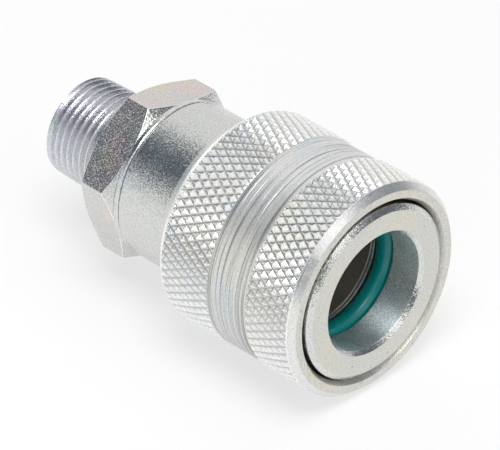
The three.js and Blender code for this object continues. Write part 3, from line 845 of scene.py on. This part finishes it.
def front_seal():
    piece = round_ring("front_seal_finished", *FRONT_SEAL, columns=256, sides=48)
    piece.data.materials.append(seal_green)
    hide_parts("front_seal")
    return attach(piece, "coupler_body")


def black_seal(node, station, radius, section, body):
    piece = round_ring(node + "_finished", station, radius, section)
    piece.data.materials.append(seal_black)
    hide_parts(node)
    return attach(piece, body)


def backup_ring():
    piece = flat_ring("backup_ring_finished", *BACKUP, edge=0.08)
    piece.data.materials.append(ptfe)
    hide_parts("backup_ring")
    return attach(piece, "coupler_body")


def spring_seat():
    piece = flat_ring("spring_seat_finished", *SPRING_SEAT, edge=0.12)
    piece.data.materials.append(spring_steel)
    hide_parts("spring_seat")
    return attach(piece, "spring_carrier")


def snap_ring():
    """A split ring with slightly thinner tips, open at the bottom."""
    front, rear, inner, outer = SNAP_RING
    steps = 160
    section = np.array(rounded([(front, inner), (front, outer), (rear, outer), (rear, inner)], 0.12))
    middle = section.mean(0)
    start = -math.pi / 2 + SNAP_OPENING / 2
    rings = []
    for step in range(steps + 1):
        share = step / steps
        angle = start + (2 * math.pi - SNAP_OPENING) * share
        shrink = 0.9 if step in (0, steps) else 1.0
        points = middle + (section - middle) * shrink
        x = FRONT_X - points[:, 0] * MM
        y, z = points[:, 1] * math.cos(angle) * MM, points[:, 1] * math.sin(angle) * MM
        rings.append(np.stack([x, y, z], -1))
    count = len(section)
    faces = [tuple(range(count)), tuple(steps * count + k for k in reversed(range(count)))]
    for i in range(steps):
        for k in range(count):
            after = (k + 1) % count
            faces.append((i * count + k, i * count + after, (i + 1) * count + after, (i + 1) * count + k))
    piece = new_object("snap_ring_finished", np.concatenate(rings).tolist(), faces)
    mark_sharp(piece, 40)
    piece.data.materials.append(spring_steel)
    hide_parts("snap_ring")
    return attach(piece, "coupler_body")


def poppet():
    nose, stem, head = POPPET_NOSE_RADIUS, POPPET_STEM_RADIUS, POPPET_HEAD_RADIUS
    seal_station, seal_radius = POPPET_SEAL[:2]
    offset = SEAT_FRONT - SEAT_RADIUS + POPPET_SEAT_GAP
    middle = (seal_station + seal_radius + offset) / 2
    half, deep = (part * math.sqrt(0.5) for part in POPPET_GROOVE)
    groove = [
        (middle - half, middle - half - offset, 0.05),
        (middle - half + deep, middle - half - offset - deep, 0.05),
        (middle + half + deep, middle + half - offset - deep, 0.05),
        (middle + half, middle + half - offset, 0.05),
    ]
    outline = rounded([
        (POPPET_TIP, 0), (POPPET_TIP, POPPET_TIP_RADIUS, 0.2), (POPPET_TIP + POPPET_TIP_CHAMFER, nose, 0.5),
        (POPPET_CONE_FRONT, nose, 0.4), (POPPET_CONE_FRONT, POPPET_CONE_FRONT - offset, 0.15), *groove,
        (head + offset, head, 0.15), (POPPET_HEAD_REAR, head, 0.15), (POPPET_HEAD_REAR, stem, 0.3),
        (POPPET_REAR - 0.3, stem, 0.1), (POPPET_REAR, POPPET_TIP_RADIUS, 0.1), (POPPET_REAR, 0),
    ], closed=False)
    points = np.array(outline)
    points[0, 1] = points[-1, 1] = 1e-5
    angles = np.arange(SMALL_COLUMNS) * 2 * math.pi / SMALL_COLUMNS
    shape = (SMALL_COLUMNS, len(points))
    stations, radii = (np.broadcast_to(points[:, axis], shape) for axis in (0, 1))
    piece = wrapped("poppet_finished", angles, stations, radii)
    finish_faces(piece, [
        (band_zinc, lambda s, r, f: (r > nose + 0.1) & (s < POPPET_HEAD_REAR - 0.5)),
        (bright_steel, everywhere),
    ])
    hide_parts("poppet")
    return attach(piece, "poppet")


def valve_guide():
    """A disc with a hub for the poppet's stem and three windows for the fluid."""
    outer, rim, hub, hole = GUIDE_RADIUS, GUIDE_RIM_RADIUS, GUIDE_HUB_RADIUS, GUIDE_HOLE_RADIUS
    piece = turned("valve_guide_finished", [
        (GUIDE_HUB_FRONT, hole), (GUIDE_HUB_FRONT, hub), (GUIDE_FRONT, hub, 0.3), (GUIDE_FRONT, outer),
        (GUIDE_REAR, outer), (GUIDE_REAR, hole),
    ], columns=SMALL_COLUMNS)
    plugs = []
    for window in range(3):
        middle = 2 * math.pi * window / 3 + math.pi / 2
        corners = [(rim, middle + GUIDE_WINDOW_HALF_ANGLE * (step / 6 - 1)) for step in range(13)]
        corners += [(hub, middle + GUIDE_WINDOW_HALF_ANGLE * (1 - step / 6)) for step in range(13)]
        shape = bmesh.new()
        ends = []
        for station in (GUIDE_FRONT - GUIDE_OVERCUT, GUIDE_REAR + GUIDE_OVERCUT):
            x = FRONT_X - station * MM
            ring = [shape.verts.new((x, r * math.cos(a) * MM, r * math.sin(a) * MM)) for r, a in corners]
            ends.append(ring)
            shape.faces.new(ring)
        for k in range(len(corners)):
            after = (k + 1) % len(corners)
            shape.faces.new((ends[0][k], ends[0][after], ends[1][after], ends[1][k]))
        bmesh.ops.recalc_face_normals(shape, faces=shape.faces)
        mesh = bpy.data.meshes.new("window")
        shape.to_mesh(mesh)
        shape.free()
        plug = bpy.data.objects.new("window", mesh)
        plug.location = (0, 0, AXIS_Z)
        bpy.context.scene.collection.objects.link(plug)
        plugs.append(plug)
    cut(piece, plugs)
    finish_faces(piece, [(plain_zinc, everywhere)])
    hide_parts("valve_guide")
    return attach(piece, "coupler_body")


def locking_ball(ball):
    shape = bmesh.new()
    bmesh.ops.create_icosphere(shape, subdivisions=4, radius=BALL_RADIUS * MM)
    mesh = bpy.data.meshes.new("ball")
    shape.to_mesh(mesh)
    shape.free()
    mesh.shade_smooth()
    mesh.materials.append(bright_steel)
    piece = bpy.data.objects.new(f"locking_ball_{ball + 1}_finished", mesh)
    angle = ball_angle(ball)
    orbit = BALL_ORBIT * MM
    piece.location = (FRONT_X - BALL_STATION * MM, orbit * math.cos(angle), AXIS_Z + orbit * math.sin(angle))
    bpy.context.scene.collection.objects.link(piece)
    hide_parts(f"locking_ball_{ball + 1}")
    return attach(piece, f"ball_{ball + 1}")


def spring(node, front, rear, radius, wire, turns, body, joint, travel):
    piece = coil(node + "_finished", front, rear, radius, wire, turns)
    piece.data.materials.append(spring_steel)
    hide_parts(node)
    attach(piece, body)
    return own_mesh(piece)


nose_ring()
socket_body()
lock_sleeve()
hose_adapter()
front_seal()
black_seal("nipple_seal", *NIPPLE_SEAL, "coupler_body")
black_seal("joint_seal", *JOINT_SEAL, "coupler_body")
black_seal("poppet_seal", *POPPET_SEAL, "poppet")
backup_ring()
spring_seat()
snap_ring()
poppet()
valve_guide()
for ball in range(BALL_COUNT):
    locking_ball(ball)
spring("sleeve_spring", *SLEEVE_SPRING, "spring_carrier", "sleeve_pull", SLEEVE_PULL)
spring("poppet_spring", *POPPET_SPRING, "coupler_body", "poppet_push", POPPET_TRAVEL)

# ---- Stage ---------------------------------------------------------------------------------------------

AIM = Vector((3.62 * MM, 1.42 * MM, AXIS_Z - 2.25 * MM))
CAMERA_AZIMUTH = math.radians(45)
CAMERA_ELEVATION = math.radians(35.26)
CAMERA_DISTANCE = 0.845
CAMERA_LENS = 389.9

# Each patch of the studio round the object: its direction, inner and outer angle in degrees, and colour.
STUDIO = (
    ((-0.5, -0.46, 0.73), 6, 44, (0.08, 0.11, 0.14)),
    ((0.84, -0.52, 0.16), 10, 24, (0.08, 0.1, 0.13)),
    ((0.62, 0.71, 0.3), 14, 42, (0.15, 0.16, 0.18)),
    ((0.86, -0.02, 0.5), 5, 16, (1.5, 1.5, 1.48)),
)
STUDIO_LOW = (0.9, 0.905, 0.9, 1)
STUDIO_HIGH = (0.92, 0.92, 0.91, 1)
FLOOR_HALF = 3.0
FLOOR_TONE = (0.29, 0.31)
FLOOR_GLOW = 0.62


def studio():
    world = bpy.data.worlds.new("studio")
    world.use_nodes = True
    bpy.context.scene.world = world
    tree = world.node_tree
    nodes, links = tree.nodes, tree.links
    background = nodes["Background"]
    direction = nodes.new("ShaderNodeTexCoord").outputs["Generated"]
    split = nodes.new("ShaderNodeSeparateXYZ")
    links.new(direction, split.inputs[0])
    height = nodes.new("ShaderNodeMapRange")
    links.new(split.outputs[2], height.inputs["Value"])
    height.inputs["From Min"].default_value = -0.1
    height.inputs["From Max"].default_value = 0.9
    blend = nodes.new("ShaderNodeMix")
    blend.data_type = "RGBA"
    links.new(height.outputs[0], blend.inputs[0])
    blend.inputs[6].default_value = STUDIO_LOW
    blend.inputs[7].default_value = STUDIO_HIGH
    colour = blend.outputs[2]
    for toward, inner, outer, paint in STUDIO:
        dot = nodes.new("ShaderNodeVectorMath")
        dot.operation = "DOT_PRODUCT"
        links.new(direction, dot.inputs[0])
        dot.inputs[1].default_value = Vector(toward).normalized()
        share = nodes.new("ShaderNodeMapRange")
        share.interpolation_type = "SMOOTHSTEP"
        links.new(dot.outputs["Value"], share.inputs["Value"])
        share.inputs["From Min"].default_value = math.cos(math.radians(outer))
        share.inputs["From Max"].default_value = math.cos(math.radians(inner))
        over = nodes.new("ShaderNodeMix")
        over.data_type = "RGBA"
        links.new(share.outputs[0], over.inputs[0])
        links.new(colour, over.inputs[6])
        over.inputs[7].default_value = (*paint, 1)
        colour = over.outputs[2]
    links.new(colour, background.inputs["Color"])
    background.inputs["Strength"].default_value = 1.0


def floor():
    mesh = bpy.data.meshes.new("floor")
    half = FLOOR_HALF
    corners = [(-half, -half, 0), (half, -half, 0), (half, half, 0), (-half, half, 0)]
    mesh.from_pydata(corners, [], [(0, 1, 2, 3)])
    piece = bpy.data.objects.new("floor", mesh)
    bpy.context.scene.collection.objects.link(piece)
    nodes = Nodes("floor_paper")
    tone = nodes.ramp(nodes.noise(nodes.place, 3.0), 0.3, 0.7, *FLOOR_TONE)
    grey = nodes.add("ShaderNodeCombineColor")
    for socket in grey.inputs:
        nodes.link(tone, socket)
    nodes.link(grey.outputs[0], nodes.shader.inputs["Base Color"])
    nodes.shader.inputs["Emission Color"].default_value = (1, 1, 1, 1)
    nodes.shader.inputs["Emission Strength"].default_value = FLOOR_GLOW
    nodes.shader.inputs["Roughness"].default_value = 0.9
    nodes.shader.inputs["Specular IOR Level"].default_value = 0.1
    mesh.materials.append(nodes.material)


def softbox(name, toward, distance, size, watts):
    light = bpy.data.lights.new(name, "AREA")
    light.shape = "DISK"
    light.size = size
    light.energy = watts
    lamp = bpy.data.objects.new(name, light)
    direction = Vector(toward).normalized()
    lamp.location = direction * distance
    lamp.rotation_mode = "QUATERNION"
    lamp.rotation_quaternion = direction.to_track_quat("Z", "Y")
    bpy.context.scene.collection.objects.link(lamp)


def camera():
    data = bpy.data.cameras.new("camera")
    data.lens = CAMERA_LENS
    data.clip_start, data.clip_end = 0.05, 20
    eye = bpy.data.objects.new("camera", data)
    flat = math.cos(CAMERA_ELEVATION)
    x, y = math.sin(CAMERA_AZIMUTH) * flat, -math.cos(CAMERA_AZIMUTH) * flat
    back = Vector((x, y, math.sin(CAMERA_ELEVATION)))
    eye.location = AIM + back * CAMERA_DISTANCE
    eye.rotation_mode = "QUATERNION"
    eye.rotation_quaternion = back.to_track_quat("Z", "Y")
    bpy.context.scene.collection.objects.link(eye)
    bpy.context.scene.camera = eye


studio()
floor()
softbox("overhead", (0.25, -0.25, 0.94), 0.9, 0.5, 5.0)
camera()
bpy.context.scene.view_settings.view_transform = "Standard"
